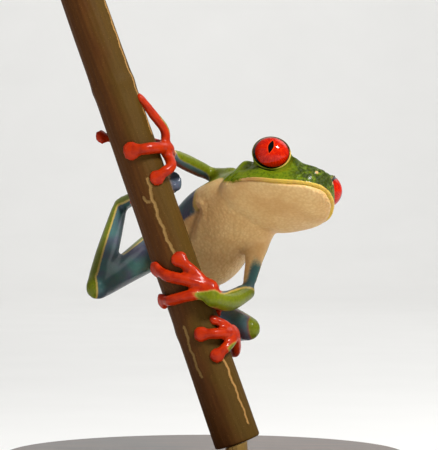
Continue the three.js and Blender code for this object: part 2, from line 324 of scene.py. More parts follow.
# Head and eyes.
head = {
    "forward": vec(0.6437, -0.753, 0.135),
    "left": vec(0.7135, 0.5274, -0.4621),
    "samples": 64,  # rings through the sections
    # from neck to snout: forward, half-width at the lip, heights of crown, lip and throat from the
    # eyes' centres
    "sections": [
        [-13, 6.4, 0.8, -4.6, -7.6],
        [-10, 7.6, 1.0, -4.7, -8.1],
        [-7, 8.5, 1.1, -4.85, -8.1],
        [-3.5, 8.6, 1.2, -5.0, -7.5],
        [0, 8.0, 1.4, -5.25, -7.2],
        [3, 6.8, 0.6, -5.4, -6.9],
        [5.2, 5.3, -0.2, -5.15, -6.5],
        [6.8, 3.7, -1.1, -4.75, -6.0],
        [7.6, 2.2, -2.1, -4.45, -5.3],
        [8.05, 0.8, -3.2, -4.2, -4.7],
    ],
}
headUp = unit(np.cross(head["forward"], head["left"]))
headAxes = np.array([head["forward"], head["left"], headUp])
headForward = unit(head["forward"])

eye = {
    "spread": 6.6,  # eye centre from the midline
    "raised": 0.2,
    "radii": vec(3.2, 2.85, 2.85),  # across, tall and deep
    "gaze": vec(0.69, 0.71, -0.09),  # the gaze's share forward, to the side and up
    # how far the middles of the iris and of the lids' opening lie aside of and below the gaze, and
    # how far the red and the opening reach from there, in degrees
    "iris": [7, 4],
    "irisEdge": 64,
    "lids": [0, 1],
    "opening": 78,
    "rim": 1.03,  # the rim's distance from the eyeball's middle, in eyeball radii
    "sunk": 0.9,  # and the skin's under the eyeball
    "rimThick": [0.075, 0.13],  # the rim's radius behind and in front, in millimetres
    "lidSize": 0.1,  # how much larger the lid's bulge is than the eyeball
    "lidSetBack": 1.2,
}


def inHead(forward, left, up):
    return headDrop + vec(forward, left, up) @ headAxes


def fromHead(points):
    # points as forward, left and up from between the eyes
    return (points - headDrop) @ headAxes.T


def foldedHead(points):
    # the same with the head's right side folded onto its left
    forward, left, up = fromHead(points).T
    return np.stack([forward, np.abs(left), up], -1)


def lipHeight(forward):
    # the lip line's height, straight from one section to the next
    rows = np.array(head["sections"])
    return np.interp(forward, rows[:, 0], rows[:, 3])


def eyeAxes(side):
    # across, tall and along the gaze; side is 1 on the left and -1 on the right
    along = unit(eye["gaze"] * vec(1, side, 1) @ headAxes)
    across = unit(np.cross(headUp, along))
    return np.array([across, np.cross(along, across), along])


def eyeCentre(side):
    return inHead(0, side * eye["spread"], eye["raised"])


def eyeTurn(part, side):
    # the middle of the iris or the lids' opening, as a direction in the eye's own axes
    aside, dip = np.radians(eye[part])
    return vec(-side * math.sin(aside) * math.cos(dip), -math.sin(dip), math.cos(aside) * math.cos(dip))


def inEye(points, side, part):
    # how far out each point is, 1 on the eyeball, and its angle from the part's middle
    local = (points - eyeCentre(side)) @ eyeAxes(side).T / eye["radii"]
    far = np.linalg.norm(local, axis=1)
    angle = np.degrees(np.arccos(np.clip(local @ eyeTurn(part, side) / np.maximum(far, 1e-6), -1, 1)))
    return far, angle, local


def ellipsoidGrid(centre, axes, radii, rings, sides):
    # latitude rings, each a scaled circle, from one pole of the third axis to the other
    tilt = np.linspace(0.02, np.pi - 0.02, rings)[::-1, None]
    turn = np.linspace(0, 2 * np.pi, sides, endpoint=False)[None]
    local = np.stack([np.sin(tilt) * np.cos(turn), np.sin(tilt) * np.sin(turn), np.cos(tilt) + 0 * turn], -1)
    return centre + (local * radii) @ axes


# Strands: the body's lofts, each an elliptical profile carried along a smooth path.
def strand(stations, steps):
    # a station is [point, half-width, rise, drop, up]
    shares = np.linspace(0, 1, steps + 1)
    centre = smoothPath([station[0] for station in stations], shares)
    along = unit(np.gradient(centre, axis=0))
    side = unit(np.cross(smoothPath([station[4] for station in stations], shares), along))
    size = smoothPath([station[1:4] for station in stations], shares)
    return {"centre": centre, "along": along, "side": side, "up": np.cross(along, side), "size": size}


def strandShell(one, sides):
    # the strand's rings, with a dome of smaller rings at each end
    dome = 7
    angle = np.radians(np.linspace(8, 90, dome + 1)[:-1])[:, None]

    def cap(end, way):
        size = one["size"][end]
        length = min(size[0], (size[1] + size[2]) / 2) * way
        centre = one["centre"][end] + one["along"][end] * length * np.cos(angle)
        same = np.ones((dome, 1))
        return ringGrid(centre, same * one["side"][end], same * one["up"][end], size * np.sin(angle), sides)

    middle = ringGrid(one["centre"], one["side"], one["up"], one["size"], sides)
    return closedGrid(np.vstack([cap(0, -1), middle, cap(-1, 1)[::-1]]))


def measure(one, points):
    # each point's distance from the strand's surface, its share along the strand, the way out from the
    # axis and how far out that is
    centre = one["centre"]
    gaps = (centre**2).sum(1)[None] - 2 * points @ centre.T
    nearest = gaps.argmin(axis=1)
    offset = points - centre[nearest]
    along, size = one["along"][nearest], one["size"][nearest]
    forward = (offset * along).sum(1)
    atEnd = (nearest == 0) | (nearest == len(centre) - 1)
    across = (offset * one["side"][nearest]).sum(1)
    rise = (offset * one["up"][nearest]).sum(1)
    tall = np.where(rise > 0, size[:, 1], size[:, 2])
    length = np.minimum(size[:, 0], (size[:, 1] + size[:, 2]) / 2)
    far = np.sqrt((across / size[:, 0]) ** 2 + (rise / tall) ** 2 + np.where(atEnd, forward / length, 0) ** 2)
    flat = offset - along * np.where(atEnd, 0, forward)[:, None]
    span = np.linalg.norm(flat, axis=1)
    return span * (1 - 1 / np.maximum(far, 1e-3)), nearest / (len(centre) - 1), unit(flat), span


trunkUp = vec(0.298, 0.4226, 0.856)
trunkStations = [
    [inHead(-6.5, 0, -3.4), 6.3, 4.4, 4.0, headUp],
    [inHead(-10.5, 0, -4), 7.4, 5.0, 4.8, headUp],
    [vec(-12, 10.6, -7.6), 7.7, 5.4, 6.2, trunkUp],
    [vec(-15.9, 17, -11.3), 7.9, 6.4, 8.9, vec(-0.02, 0.41, 0.91)],
    [vec(-18.2, 23, -13.4), 7.9, 6.2, 7.3, vec(0.12, 0.42, 0.9)],
    [vec(-20.2, 28, -14.2), 6.2, 4.9, 5.2, trunkUp],
    [vec(-21.8, 32.4, -15.2), 3.4, 2.9, 2.9, trunkUp],
]

# The stem, which the hands and feet are laid on. Its lean is how far it moves along X for each
# millimetre up.
stem = {
    "top": 33.5,
    "bottom": -45.9,
    "lean": -0.35,
    "middleX": -26.38,
    "topRadius": 3.5,
    "footRadius": 4,
}
stemUp = unit(vec(stem["lean"], 0, 1))
stemRight = vec(stemUp[2], 0, -stemUp[0])
stemLow, stemHigh = stem["bottom"] / stemUp[2], stem["top"] / stemUp[2]


def stemRadius(t):
    # it tapers evenly
    return mixed(stem["footRadius"], stem["topRadius"], (t - stemLow) / (stemHigh - stemLow))


def onStem(t, turn, lift):
    # a point by the stem and the way out there: t along the stem, turn in degrees (0 right, 90 front)
    # and lift off the bark
    angle = np.radians(turn)
    out = stemRight * np.cos(angle) + vec(0, -1, 0) * np.sin(angle)
    return vec(stem["middleX"], 0, 0) + stemUp * t + out * (stemRadius(t) + lift), out


# Arms and legs.
joints = {
    "shoulder": {"right": vec(-11.2, 7.4, -0.9), "left": vec(-6.9, 10, -10.1)},
    "elbow": {"right": vec(-14.9, 12.5, -0.2), "left": vec(-8.7, 4.8, -20.5)},
    "wrist": {"right": vec(-22.2, 2.4, 3.2), "left": vec(-14.7, -5, -21.4)},
    "hip": {"right": vec(-25, 26.6, -13.4), "left": vec(-18.4, 26.8, -18.8)},
    "knee": {"right": vec(-34.6, 8, -19.9), "left": vec(-8.4, 6, -26.9)},
    "heel": {"right": vec(-31.4, 27, -5.4), "left": vec(-16, 26, -28.5)},
    "instep": {"right": vec(-26.4, 16.5, -3), "left": vec(-13.6, 13, -31.2)},
    "sole": {"right": vec(-21.6, 8, -1.6), "left": vec(-11, 3.2, -29.6)},
}
# from, to, radius at the start, in the middle and at the end, and where the middle is
segments = {
    "upper_arm": ["shoulder", "elbow", {"right": [2.0, 1.5, 1.3], "left": [3.2, 1.5, 0.95]}, 0.5],
    "forearm": ["elbow", "wrist", {"right": [1.3, 1.4, 1.1], "left": [1.5, 1.75, 1.5]}, 0.55],
    "thigh": ["hip", "knee", {"right": [3.4, 2.7, 2.1], "left": [3.5, 2.4, 2.1]}, 0.45],
    "shank": ["knee", "heel", {"right": [2.05, 2.0, 1.3], "left": [2.1, 2.0, 1.35]}, 0.35],
    "tarsus": ["heel", "instep", {"right": [1.35, 1.15, 1.2], "left": [1.35, 1.15, 1.2]}, 0.5],
}
# how far a segment's middle lies off the straight line
bow = {
    "upper_arm_left": vec(0.3, 0, 0),
    "forearm_left": vec(0, 0, -0.9),
    "thigh_left": vec(0, 0, -1.6),
}

# Places on the stem are [t, turn] or [t, turn, lift], as onStem takes them. A palm's or pad's row goes
# on with its half-width and thickness.
hands = {
    "right": {
        "palm": [[2.4, 0, 1.5, 1.4, 1.1], [2.2, 12, 1.1, 1.9, 0.95]],
        "lift": 1.2,  # of the fingers' roots
        "digits": [
            {
                "root": [2.8, 4], "bend": [5.4, 3, 2.1], "tip": [11.9, 15], "web": 1.35,
                "thick": 0.8, "disc": 0.9,
            },
            {"root": [2.6, 10], "tip": [3.9, 100], "thick": 1.0, "disc": 1.7},
            {"root": [1.6, 6], "bend": [-0.7, 25, 1.6], "tip": [-1.8, 62], "thick": 0.9, "disc": 1.4},
            {"root": [3.2, -14], "tip": [8.1, -150], "thick": 0.8, "disc": 1.3, "tipLift": 1.9},
        ],
    },
    "left": {
        "palm": [[-22.4, 47, 2.6, 1.5, 1.3], [-21.6, 57, 1.6, 1.9, 1.0]],
        "lift": 2.4,
        "digits": [
            {"root": [-22.2, 47], "bend": [-19, 58, 1.2], "tip": [-15.9, 77], "thick": 0.95, "disc": 1.5},
            {"root": [-22, 50], "bend": [-19.9, 76, 1.3], "tip": [-16.3, 147], "thick": 1.0, "disc": 1.5},
            {
                "root": [-23.2, 46], "bend": [-22.3, 84, 1.7], "tip": [-21.8, 156], "tipLift": 0.7,
                "thick": 0.95, "disc": 1.5,
            },
            {"root": [-22.8, 46], "tip": [-26.6, -24], "thick": 0.8, "disc": 1.2},
        ],
    },
}
feet = {
    "right": {
        "pad": [-3.6, -64, 3.2, 2.0, 1.1],
        "lift": 2.75,
        "digits": [
            {"root": [-3.4, -65], "tip": [0.9, -104], "thick": 0.75, "disc": 1.15},
            {"root": [-3.4, -68], "tip": [-0.2, -128], "thick": 0.78, "disc": 1.25},
            {"root": [-3.7, -70], "tip": [-4.3, -144], "thick": 0.8, "disc": 1.35},
            {"root": [-4, -68], "tip": [-8.3, -128], "thick": 0.8, "disc": 1.35},
            {"root": [-4.2, -64], "tip": [-9.8, -76], "thick": 0.78, "disc": 1.25},
        ],
    },
    "left": {
        "pad": [-31, 0, 1.6, 1.9, 1.0],
        "lift": 1.5,
        "digits": [
            {"root": [-31, -10], "tip": [-30.2, -104], "thick": 0.75, "disc": 1.05},
            {"root": [-30.6, -4], "tip": [-27.4, -70], "thick": 0.78, "disc": 1.15},
            {"root": [-30.6, 6], "tip": [-27.6, 41], "thick": 0.8, "disc": 0.95},
            {"root": [-31, 8], "tip": [-29.1, 87], "thick": 0.95, "disc": 1.4},
            {"root": [-31.4, 8], "tip": [-33.4, 68], "thick": 0.9, "disc": 1.35},
        ],
    },
}
discLift = 0.3  # a disc's middle over the stem


def limbStations(name, side):
    # round sections at a segment's start, middle and end
    start, end, radii, middleAt = segments[name]
    a, b = joints[start][side], joints[end][side]
    centres = [a, mixed(a, b, middleAt) + bow.get(f"{name}_{side}", 0), b]
    return [[centre, radius, radius, radius, trunkUp] for centre, radius in zip(centres, radii[side])]


def digitStations(digit, lift):
    # round sections from the root over the knuckles, then two flat broad ones for the disc
    root, tip, thick, disc = (digit[key] for key in ("root", "tip", "thick", "disc"))
    tipLift = digit.get("tipLift", discLift)

    def place(share, height):
        return onStem(mixed(root[0], tip[0], share), mixed(root[1], tip[1], share), height)

    bones = [place(0, lift), place(0.34, lift * 0.8), place(0.67, mixed(tipLift, lift, 0.45))]
    if "bend" in digit:  # a knuckle off the straight line
        t, turn, height = digit["bend"]
        beyond = onStem(mixed(t, tip[0], 0.5), mixed(turn, tip[1], 0.5), mixed(height, tipLift, 0.5))
        bones[1:] = [onStem(t, turn, height), beyond]
    middle, out = place(1, tipLift)
    reach = unit(middle - bones[2][0])
    web = digit.get("web", 1)  # how much broader a web makes the finger's root
    return [
        *[[point, thick * more, thick, thick, away] for (point, away), more in zip(bones, (web, web, 1))],
        [middle - reach * 0.95 * disc, thick * 0.95, thick * 0.8, thick * 0.8, out],
        [middle, disc, 0.55, 0.75, out],
        [middle + reach * 0.45 * disc, disc * 0.8, 0.45, 0.7, out],
    ]


def padStation(t, turn, lift, width, thick):
    # a flat section that lies along the bark
    point, out = onStem(t, turn, lift)
    return [point, width, thick, thick, out]


def palmStations(side):
    # from the round wrist to the flat palm
    inner = [padStation(*row) for row in hands[side]["palm"]]
    return [[joints["wrist"][side], 1.2, 1.2, 1.2, inner[0][4]], *inner]


def footStations(side):
    # from the instep, growing broader and flatter, to the pad
    end = padStation(*feet[side]["pad"])
    instep, sole = joints["instep"][side], joints["sole"][side]
    return [
        [instep, 1.3, 1.2, 1.2, end[4]],
        [mixed(instep, sole, 0.6), 1.75, 1.1, 1.1, end[4]],
        [sole, 2.0, 1.1, 1.1, end[4]],
        end,
    ]


# Where the colours lie on a strand. "green" is the direction of its green strip and how narrow the
# strip is; "roll" turns the strip along the strand and "until" ends it at a share of the length. "blue"
# and "brown" are a direction and the range over which that colour comes in, the blue only "after" a
# share of the length; the brown is painted shade, a dark reddish brown where these limbs lie in shadow.
# "orange" is 1 where the strand is orange all over. "edging" is how strong the strip's cream edge is,
# and "edgingFrom" how far up the strand's side has to face for it to come in, which keeps the edge to
# the upward side and makes it partly a painted highlight there.
limbPaint = {
    "upper_arm_right": {"green": [vec(-0.3, -0.2, 0.93), 0.1], "blue": [vec(0.3, 0.2, -0.93), -0.4, 0.2]},
    "forearm_right": {
        "edging": 0.15, "green": [vec(0.1, -0.35, 0.93), -0.05], "blue": [vec(0, -0.6, -0.8), -0.4, 0.1],
        "brown": [vec(-0.2, 0, -1), 0.55, 0.95],
    },
    "upper_arm_left": {
        "after": 0.35, "green": [vec(0.45, 0.89, 0), 0.35], "blue": [vec(1, -0.2, 0), -0.5, 0.3],
    },
    "forearm_left": {
        "roll": 0.9, "green": [vec(0.05, -0.98, -0.1), 0.1], "blue": [vec(0, 0.3, 0.95), -0.3, 0.2],
        # the brown underneath is painted shade; edgingFrom keeps the cream edge to the upper, lit side,
        # partly a painted highlight
        "brown": [vec(0, 0.1, -1), 0, 0.4], "edgingFrom": [-0.3, 0.1],
    },
    "thigh_right": {"green": [vec(-0.95, -0.25, 0.1), 0.3], "blue": [vec(0.9, 0.3, 0), -0.6, -0.2]},
    "shank_right": {"green": [vec(-0.95, -0.2, -0.2), 0.1], "blue": [vec(0.9, 0.3, 0.2), -0.6, -0.2]},
    "tarsus_right": {"green": [vec(-0.7, 0.3, 0.6), 0.2], "blue": [vec(0.7, -0.3, -0.6), -0.6, -0.2]},
    "thigh_left": {
        "edging": 0.1, "green": [vec(0.95, -0.3, 0.15), 0.3], "blue": [vec(-0.6, -0.6, 0.4), -0.7, -0.3],
        "brown": [vec(0.95, -0.3, 0.15), -0.1, 0.5],
    },
    "shank_left": {
        "edging": 0.1, "green": [vec(0.95, -0.3, 0.1), 0.3], "blue": [vec(-0.6, -0.6, 0.4), -0.7, -0.3],
        "brown": [vec(0.95, -0.3, 0.1), -0.1, 0.5],
    },
    "tarsus_left": {"green": [vec(0.7, 0.2, -0.6), 0.2], "blue": [vec(-0.7, -0.2, 0.6), -0.6, -0.2]},
    "hand_left": {"orange": 1, "green": [vec(-0.1, -0.6, -0.8), 0.1]},
    "hand_left_2": {"orange": 1, "green": [vec(-0.1, -0.6, -0.8), 0.1], "until": 0.2},
    "hand_right_0": {"orange": 1, "green": [vec(0.8, 0.3, 0.5), 0.5], "until": 0.3},
    "foot_left_4": {"orange": 1, "green": [vec(0.6, -0.4, -0.7), 0.45], "until": 0.45},
    "foot_right": {"blue": [vec(0.8, -0.6, 0), -0.3, 0.3]},
}
allOrange = {"orange": 1}

strands = []
strandSteps = {"head": 48, "trunk": 60, "limb": 30, "digit": 34}


def addStrand(name, family, stations, kind, paint):
    made = strand(stations, strandSteps[kind])
    length = np.linalg.norm(np.diff(made["centre"], axis=0), axis=1).sum()
    strands.append({"name": name, "family": family, "paint": paint, "length": length, **made})


headSections = smoothPath(head["sections"], np.linspace(0, 1, head["samples"]))
headStations = [
    [inHead(forward, 0, lip), width, crown - lip, lip - throat, headUp]
    for forward, width, crown, lip, throat in headSections
]
addStrand("head", "body", headStations, "head", {})
addStrand("trunk", "body", trunkStations, "trunk", {})
for side in ("right", "left"):
    for name in segments:
        key = f"{name}_{side}"
        addStrand(key, key, limbStations(name, side), "limb", limbPaint[key])
    for kind, shape, stations in (("hand", hands, palmStations), ("foot", feet, footStations)):
        key = f"{kind}_{side}"
        addStrand(key, key, stations(side), "limb", limbPaint.get(key, allOrange))
        for number, digit in enumerate(shape[side]["digits"]):
            rows = digitStations(digit, shape[side]["lift"])
            paint = limbPaint.get(f"{key}_{number}", allOrange)
            addStrand(f"{key}_{number}", f"{key}_digit", rows, "digit", paint)

# One skin over all of it.
skin = {
    "voxel": 0.325,  # the even mesh that joins the lofts
    "headSides": 72,
    "trunkSides": 64,
    "limbSides": 28,
    "lidRings": 28,
    "lidSides": 40,
    "polish": 16,  # passes that even out the joined mesh's steps
    # the joints' smallest and largest reach, and how many passes ease them
    "joins": [[2.0, 9, 42], [1.0, 1.9, 14], [0, 0.9, 4]],
    "faceEase": [4, 0.8],  # passes over the face once it is finer, and their strength
    "rimEase": [2, 0.7],
}


def headShell():
    # upright rings through the head's stations
    centre = np.array([station[0] for station in headStations])
    same = np.ones((len(centre), 1))
    size = np.array([station[1:4] for station in headStations])
    return closedGrid(ringGrid(centre, same * head["left"], same * headUp, size, skin["headSides"]))


def lidShell(side):
    # an ellipsoid slightly larger than the eyeball, set back behind it
    axes = eyeAxes(side)
    middle = eyeCentre(side) - axes[2] * eye["lidSetBack"]
    radii = eye["radii"] + eye["lidSize"]
    return closedGrid(ellipsoidGrid(middle, axes, radii, skin["lidRings"], skin["lidSides"]))


shells = [headShell(), lidShell(1), lidShell(-1)]
for one in strands:
    if one["name"] != "head":
        shells.append(strandShell(one, skin["trunkSides" if one["name"] == "trunk" else "limbSides"]))
rough = addObject("rough", makeMesh("rough", *joinShells(shells)))
joined = rough.modifiers.new("joined", "REMESH")
joined.mode, joined.voxel_size = "VOXEL", skin["voxel"]
skinMesh = bpy.data.meshes.new_from_object(rough.evaluated_get(bpy.context.evaluated_depsgraph_get()))
bpy.data.objects.remove(rough)
print("lofts joined:", len(skinMesh.vertices), "vertices")


def neighbourMean(values, edges):
    # the mean of each vertex's neighbours
    count = len(values)
    start, end = edges[:, 0], edges[:, 1]
    near = np.maximum(np.bincount(start, minlength=count) + np.bincount(end, minlength=count), 1)
    total = [
        np.bincount(start, column[end], count) + np.bincount(end, column[start], count)
        for column in values.T
    ]
    return np.stack(total, -1) / near[:, None]


def smoothed(points, edges, passes, weight):
    # each pass moves the points half-way to their neighbours' mean, times the weight
    for _ in range(passes):
        points = points + (neighbourMean(points, edges) - points) * 0.5 * weight
    return points


def polished(points, edges, passes):
    # smoothing passes that grow as much as they shrink
    for _ in range(passes):
        for step in (0.5, -0.53):
            points = points + (neighbourMean(points, edges) - points) * step
    return points


# Which families flow into each other, and over how many millimetres the joint between them is eased.
joinReach = {}
for side in ("right", "left"):
    joinReach.update({
        ("body", f"upper_arm_{side}"): 2.2,
        (f"upper_arm_{side}", f"forearm_{side}"): 1.2,
        (f"forearm_{side}", f"hand_{side}"): 1.7,
        (f"hand_{side}", f"hand_{side}_digit"): 0.8,
        ("body", f"thigh_{side}"): 2.6,
        (f"thigh_{side}", f"shank_{side}"): 1.2,
        (f"shank_{side}", f"tarsus_{side}"): 1.0,
        (f"tarsus_{side}", f"foot_{side}"): 1.0,
        (f"foot_{side}", f"foot_{side}_digit"): 0.8,
    })


def familyGaps(points):
    # each point's distance from the nearest strand of each family; the lids belong to the body
    gaps = {}
    for one in strands:
        gap = measure(one, points)[0]
        gaps[one["family"]] = np.minimum(gaps.get(one["family"], np.inf), gap)
    for side in (1, -1):
        lid = (inEye(points, side, "lids")[0] - 1) * eye["radii"][2]
        gaps["body"] = np.minimum(gaps["body"], lid)
    return gaps


def joinWeights(points, smallest, largest):
    # 1 in the corner between two families that flow together, 0 away from it
    gaps = familyGaps(points)
    nearest = np.min(list(gaps.values()), axis=0)
    weight = np.zeros(len(points))
    for (first, second), reach in joinReach.items():
        if smallest <= reach <= largest:
            farther = np.maximum(gaps[first], gaps[second]) - nearest
            weight = np.maximum(weight, 1 - ease(farther, 0.15 * reach, reach))
    return weight[:, None]


points, normals, edges = readMesh(skinMesh)
points = polished(points, edges, skin["polish"])
for smallest, largest, passes in skin["joins"]:
    points = smoothed(points, edges, passes, joinWeights(points, smallest, largest))
movePoints(skinMesh, points)
print("joints eased")


def nearFace(points):
    # where the mesh is made finer: round the eyes, along the lips and at the nostrils
    forward, left, up = fromHead(points).T
    eyes = [apart(points, eyeCentre(side)) < 4.7 for side in (1, -1)]
    lips = (np.abs(up - lipHeight(forward) + 0.2) < 0.9) & (forward > -8.5)
    nose = (forward > 4.2) & (up > -3.5)
    return eyes[0] | eyes[1] | lips | nose


def refine(mesh, chosen):
    # halves every edge whose ends are both chosen
    made = bmesh.new()
    made.from_mesh(mesh)
    made.edges.ensure_lookup_table()
    inside = np.nonzero(chosen[readMesh(mesh)[2]].all(axis=1))[0]
    bmesh.ops.subdivide_edges(made, edges=[made.edges[k] for k in inside], cuts=1, use_grid_fill=True)
    made.to_mesh(mesh)
    made.free()
    mesh.update()


refine(skinMesh, nearFace(points))
points, normals, edges = readMesh(skinMesh)
passes, strength = skin["faceEase"]
points = smoothed(points, edges, passes, nearFace(points)[:, None] * strength)
movePoints(skinMesh, points)
print("face refined:", len(points), "vertices")

# Forms of the face. Places are forward, aside and up from between the eyes. In a list, a place or line
# is followed by its height and width.
face = {
    "nostrilWay": unit(vec(1.3, 1.5, 0.8)),  # which way the nostril opens
    "nostril": [vec(7.35, 1.44, -1.56), -0.1, 0.22],
    "nostrilRise": [vec(7.3, 0.95, -1.3), 0.34, 0.65],
    "tubercle": [vec(7.49, 2.07, -1.98), 0.16, 0.3],
    # above the lip line: a soft upper lip, then below it the slit and the edge of the jaw
    "lips": [[0.1, 0.12, 0.32], [-0.38, -0.34, 0.17], [-0.8, 0.08, 0.3]],
    "lines": [
        [[vec(3.2, 4.2, -0.7), vec(6.2, 1.7, -1.1)], 0.26, 0.7],  # the ridge from eye to nostril
        [[vec(2.0, 4.8, -0.5), vec(3.5, 4.2, -0.8)], 0.75, 1.0],  # where it runs up to the lid
        # the fold from the eye over the eardrum to the shoulder
        [[vec(-2.6, 8.0, 0.6), vec(-4.6, 8.6, 0.1), vec(-6.8, 8.7, -1.6), vec(-8.4, 8.4, -4.4)], 0.32, 0.5],
    ],
    "bumps": [
        [vec(2.5, 4.9, 0), 0.8, 1.0],  # the lid's front corner
        [vec(-5.9, 6.7, -1.1), 0.9, 1.5],  # temple
        [vec(6.6, 2.3, -1.7), 0.22, 1.1],  # cheekbone
        [vec(6.8, 0.3, -1.2), 0.2, 1.0],  # bridge of the snout
        [vec(3.2, 5.4, -2.0), -0.3, 1.5],  # the hollow in front of the eye
    ],
    "eardrum": vec(-4.4, 8.2, -1.9),
    "flankFold": [vec(-17.2, 5.6, -6.6), vec(-17.8, 6.2, -8), vec(-18.3, 7.1, -9.6), vec(-18.8, 8, -11.4)],
    "creases": [
        [vec(-6.2, 8.5, -2.6), vec(-7.4, 8.5, -4.2), vec(-8.8, 8.2, -5.4)],
        [vec(-7.8, 8.2, -2.2), vec(-9.0, 8.1, -3.6), vec(-10.2, 7.8, -4.4)],
        [vec(-5.4, 8.5, -3.9), vec(-6.4, 8.6, -4.6), vec(-7.4, 8.5, -5.6)],
    ],
}


def fromLine(points, line):
    # distance of each point from a line of points
    best = np.full(len(points), np.inf)
    for a, b in zip(line[:-1], line[1:]):
        share = np.clip((points - a) @ (b - a) / ((b - a) @ (b - a)), 0, 1)
        best = np.minimum(best, np.linalg.norm(points - a - share[:, None] * (b - a), axis=1))
    return best


def fromNose(folded, name):
    # distance from the line that runs out of the snout through the named place
    gap = np.linalg.norm(np.cross(folded - face[name][0], face["nostrilWay"]), axis=1)
    return np.where(folded[:, 0] > 5, gap, farOff)


def faceForms(points):
    # how far the face stands out or in, in millimetres: a sum of bells, each height times a bell of
    # the distance from its line or place
    folded = foldedHead(points)
    forward, aside, up = folded.T
    lipBand = up - lipHeight(forward)
    lips = sum(height * bell(lipBand - place, width) for place, height, width in face["lips"])
    form = lips * ease(forward, -7.5, -4.5)
    for name in ("nostrilRise", "nostril", "tubercle"):
        form = form + face[name][1] * bell(fromNose(folded, name), face[name][2])
    for line, height, width in face["lines"]:
        form = form + height * bell(fromLine(folded, line), width)
    for place, height, width in face["bumps"]:
        form = form + height * bell(apart(folded, place), width)
    # a shallow valley along the crown between the eyes
    form = form - 0.25 * bell(aside, 2.6) * ease(forward, -6, -2) * ease(-forward, -4.5, -2) * ease(up, 0, 1)
    drum = apart(folded, face["eardrum"])
    form = form - 0.12 * bell(drum - 1.05, 0.22) + 0.05 * bell(drum, 0.5)
    for line in face["creases"]:
        gap = fromLine(folded, line)
        form = form + 0.1 * bell(gap - 0.4, 0.22) - 0.22 * bell(gap, 0.2)
    gap = fromLine(points, face["flankFold"])
    return form + 0.2 * bell(gap - 1.3, 0.7) - 0.36 * bell(gap, 0.8)


def fromRim(points, side):
    # how far out each point is and its angle past the lids' opening, then its place along the
    # opening's axis and its distance outside the rim's circle, all but the angle in eyeball radii
    far, angle, local = inEye(points, side, "lids")
    edge = math.radians(eye["opening"])
    along = local @ eyeTurn("lids", side)
    away = np.sqrt(np.maximum(far**2 - along**2, 0)) - eye["rim"] * math.sin(edge)
    return far, angle - eye["opening"], along, away


def clearCheek(points, side):
    # sets the skin round an eye back, so that nothing stands in front of its rim
    far, beyond, along, away = fromRim(points, side)
    forward, left, up = fromHead(points).T
    most = eye["rim"] * math.cos(math.radians(eye["opening"])) - 0.02 - 0.11 * bell(away - 0.1, 0.05)
    most = most + np.where(away > 0, 0.75 * away + 1.3 * away**2, 0)
    near = (1 - ease(far, 1.8, 2.3)) * (along > 0) * ease(up - lipHeight(forward), 0.2, 0.9)
    excess = np.maximum(along - most, 0) * near
    return points - (excess[:, None] * eyeTurn("lids", side) * eye["radii"]) @ eyeAxes(side)


def shapeLids(points):
    # sinks the skin under each eyeball and lays it against the rim, with a crease behind
    for side in (1, -1):
        points = clearCheek(points, side)
        far, beyond, along, away = fromRim(points, side)
        outward = unit(points - eyeCentre(side))
        low = outward @ -headUp
        behind = outward @ -headForward
        crease = 0.07 * bell(beyond - 15, 3.5) * ease(low, 0.0, 0.5) * ease(behind, -0.3, 0.4)
        wall = mixed(eye["sunk"], eye["rim"], ease(beyond, -4.5, 0)) - 0.008 * np.maximum(beyond - 7, 0)
        under = np.minimum(far, mixed(eye["sunk"], eye["rim"], ease(away, -0.08, 0)))
        target = np.where(beyond > 0, np.maximum(far, wall) - crease, np.where(away < 0, under, far))
        target = mixed(target, far, ease(far, 1.4, 1.85))
        points = eyeCentre(side) + (points - eyeCentre(side)) * (target / np.maximum(far, 1e-6))[:, None]
    return points


def rimRing(side):
    # the lid's raised edge, a thin ring round the eyeball that is thickest in front
    rings, sides = 180, 12
    axis, edge = eyeTurn("lids", side), math.radians(eye["opening"])
    across = unit(np.cross(vec(0, 1, 0), axis))
    turn = np.linspace(0, 2 * np.pi, rings, endpoint=False)[:, None]
    circle = np.cos(turn) * across + np.sin(turn) * np.cross(axis, across)
    local = eye["rim"] * (math.cos(edge) * axis + math.sin(edge) * circle)
    middle = eyeCentre(side) + (local * eye["radii"]) @ eyeAxes(side)
    outward = unit(middle - eyeCentre(side))
    aside = unit(np.cross(np.roll(middle, -1, axis=0) - np.roll(middle, 1, axis=0), outward))
    front = ease(outward @ headForward, 0.2, 0.8) * (1 - ease(outward @ headUp, 0.15, 0.5))
    thick = mixed(*eye["rimThick"], front)[:, None, None]
    around = np.linspace(0, 2 * np.pi, sides, endpoint=False)[None, :, None]
    grid = middle[:, None] + thick * (outward[:, None] * np.cos(around) + aside[:, None] * np.sin(around))
    return makeMesh("rim", grid.reshape(-1, 3), ringQuads(rings, sides, joined=True))


def addMeshes(mesh, others):
    made = bmesh.new()
    for one in (mesh, *others):
        made.from_mesh(one)
    bmesh.ops.recalc_face_normals(made, faces=made.faces)
    made.to_mesh(mesh)
    made.free()
    mesh.update()


def nearRim(points):
    # the lids' edge, where the mesh is made finer again
    found = np.zeros(len(points), bool)
    for side in (1, -1):
        far, beyond, along, away = fromRim(points, side)
        found |= (far < 1.5) & (np.abs(away) < 0.16) & (along > -0.2)
    return found


points, normals, edges = readMesh(skinMesh)
points = points + normals * faceForms(points)[:, None]
points = shapeLids(points)
movePoints(skinMesh, points)
refine(skinMesh, nearRim(points))
points, normals, edges = readMesh(skinMesh)
points = shapeLids(points)
passes, strength = skin["rimEase"]
points = smoothed(points, edges, passes, nearRim(points)[:, None] * strength)
movePoints(skinMesh, points)
addMeshes(skinMesh, [rimRing(1), rimRing(-1)])
onRim = np.arange(len(skinMesh.vertices)) >= len(points)
print("face formed:", len(points), "vertices,", len(skinMesh.loops) - 2 * len(skinMesh.polygons), "triangles")

# Markings.
marks = {
    "soft": 0.35,  # how far a strand's colours reach into its neighbour's, in millimetres
    "barGap": 3.4,  # from one bar on the flank to the next
    "barShift": 0.6,  # where the first one is
}


def comeIn(paint, name, out):
    # from 0 to 1 as the way out turns towards the direction that the paint names
    if name not in paint:
        return np.zeros(len(out))
    direction, low, high = paint[name]
    return ease(out @ unit(direction), low, high)


